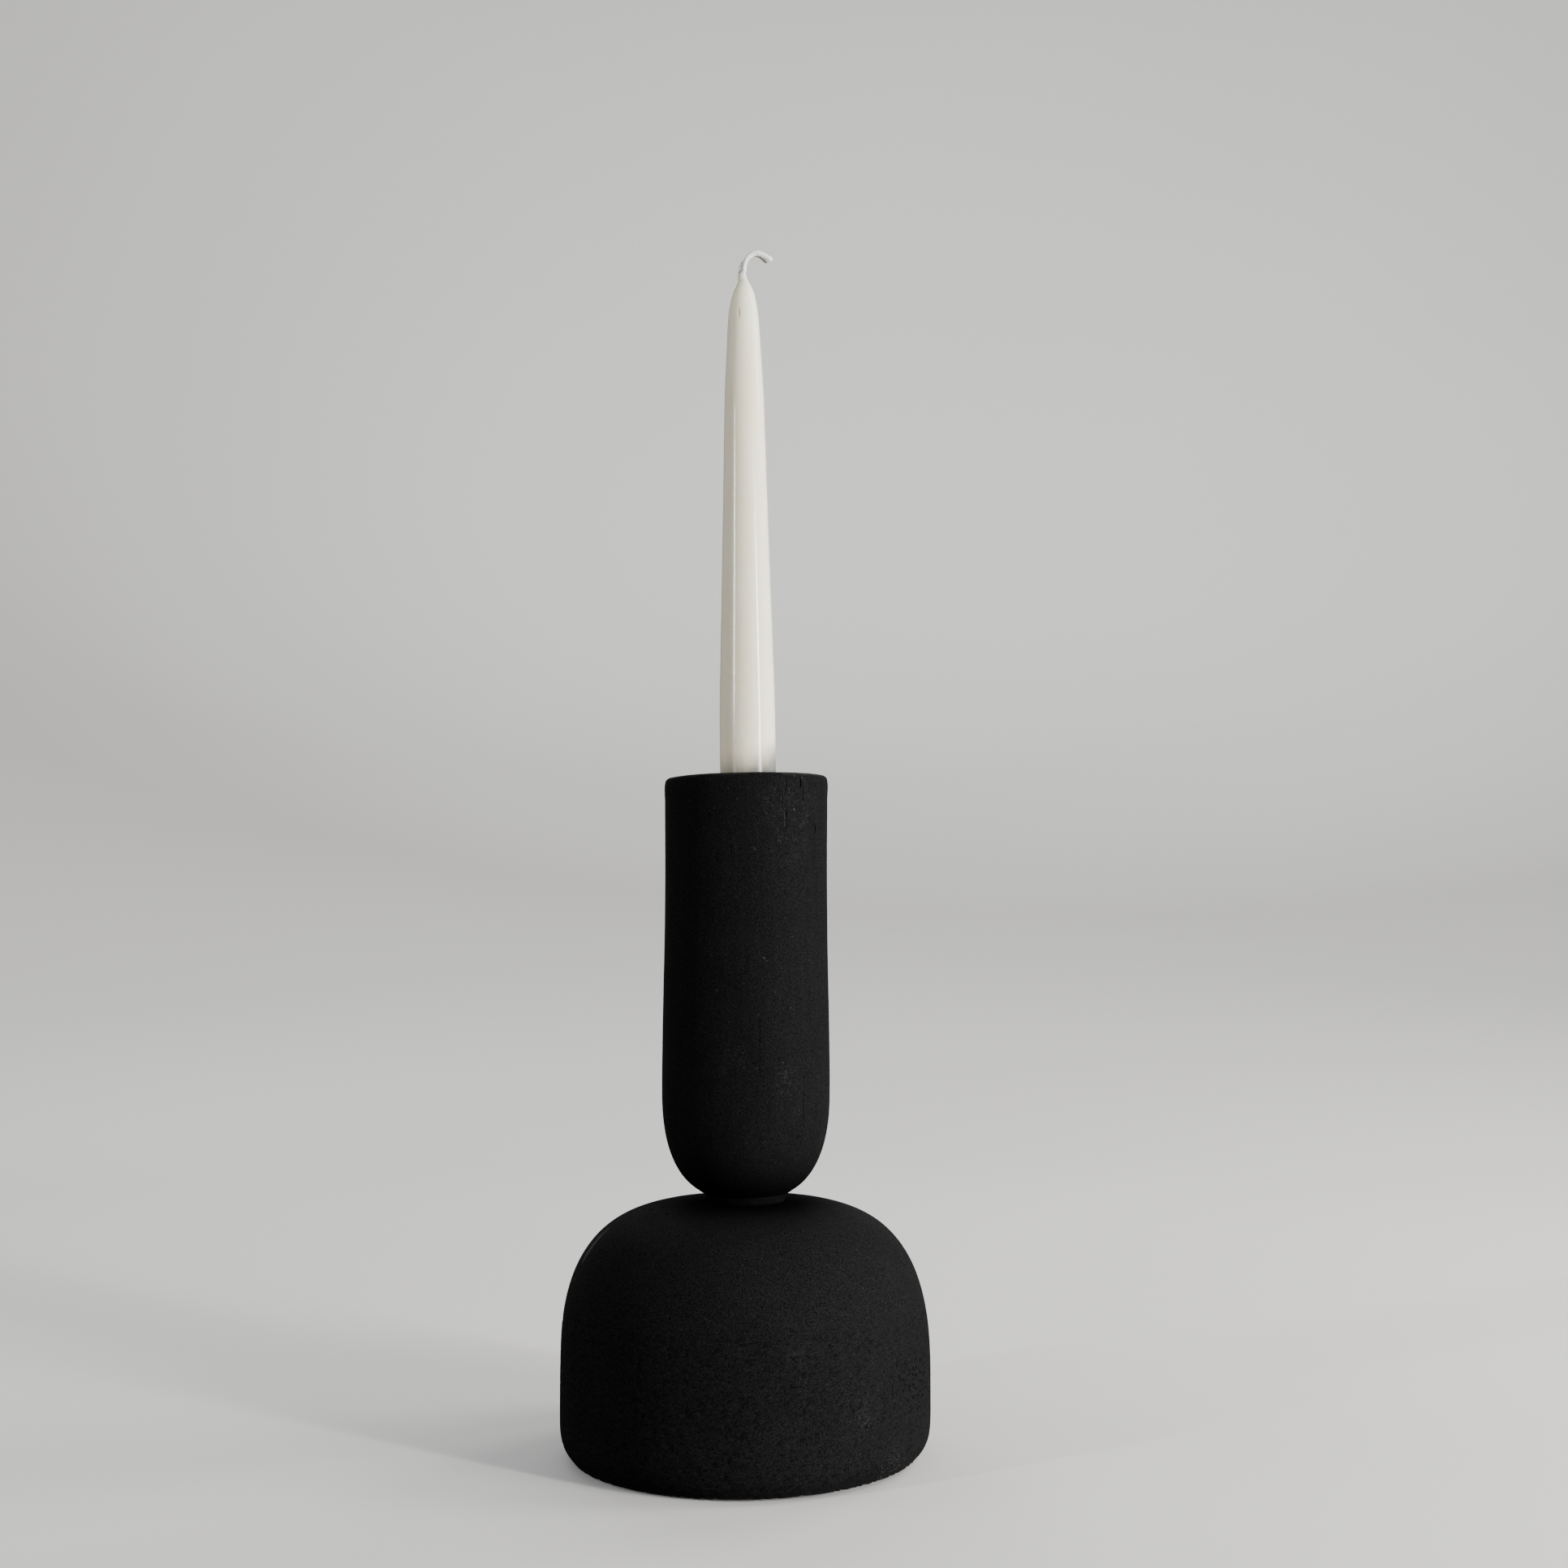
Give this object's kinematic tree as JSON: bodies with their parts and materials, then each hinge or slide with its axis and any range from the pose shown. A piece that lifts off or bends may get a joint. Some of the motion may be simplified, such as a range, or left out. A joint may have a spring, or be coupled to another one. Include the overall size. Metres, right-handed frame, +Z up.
{
  "type": "wooden candlestick",
  "caption": "Black-stained turned wooden candlestick with a domed base, a tall round-bottomed column on a short neck, and a taper candle that lifts out.",
  "frame": {"origin": "centre of the underside, on the turning axis of the base and column", "axes": "+Z up along the turning axis; +X to the right as seen from the front, the side that the wick curls to; the front is -Y"},
  "size_m": [0.1504, 0.1504, 0.4959],
  "materials": {
    "stained_wood": "matt black stain over turned wood",
    "dowel_wood": "matt black stain",
    "cup_metal": "drawn brass, dulled",
    "felt": "pressed wool felt",
    "wax": "ivory candle wax, satin",
    "cotton": "braided cotton soaked in wax"
  },
  "bodies": {
    "candlestick": {"base": "stained_wood", "neck_dowel": "dowel_wood", "column": "stained_wood", "candle_cup": "cup_metal", "felt_pad": "felt"},
    "candle": {"candle": "wax", "wick": "cotton"}
  },
  "joints": [
    {"name": "candle_lift", "type": "slide", "parent": "candlestick", "child": "candle", "axis": [0, 0, 1], "range_m": [0, 0.045]}
  ]
}
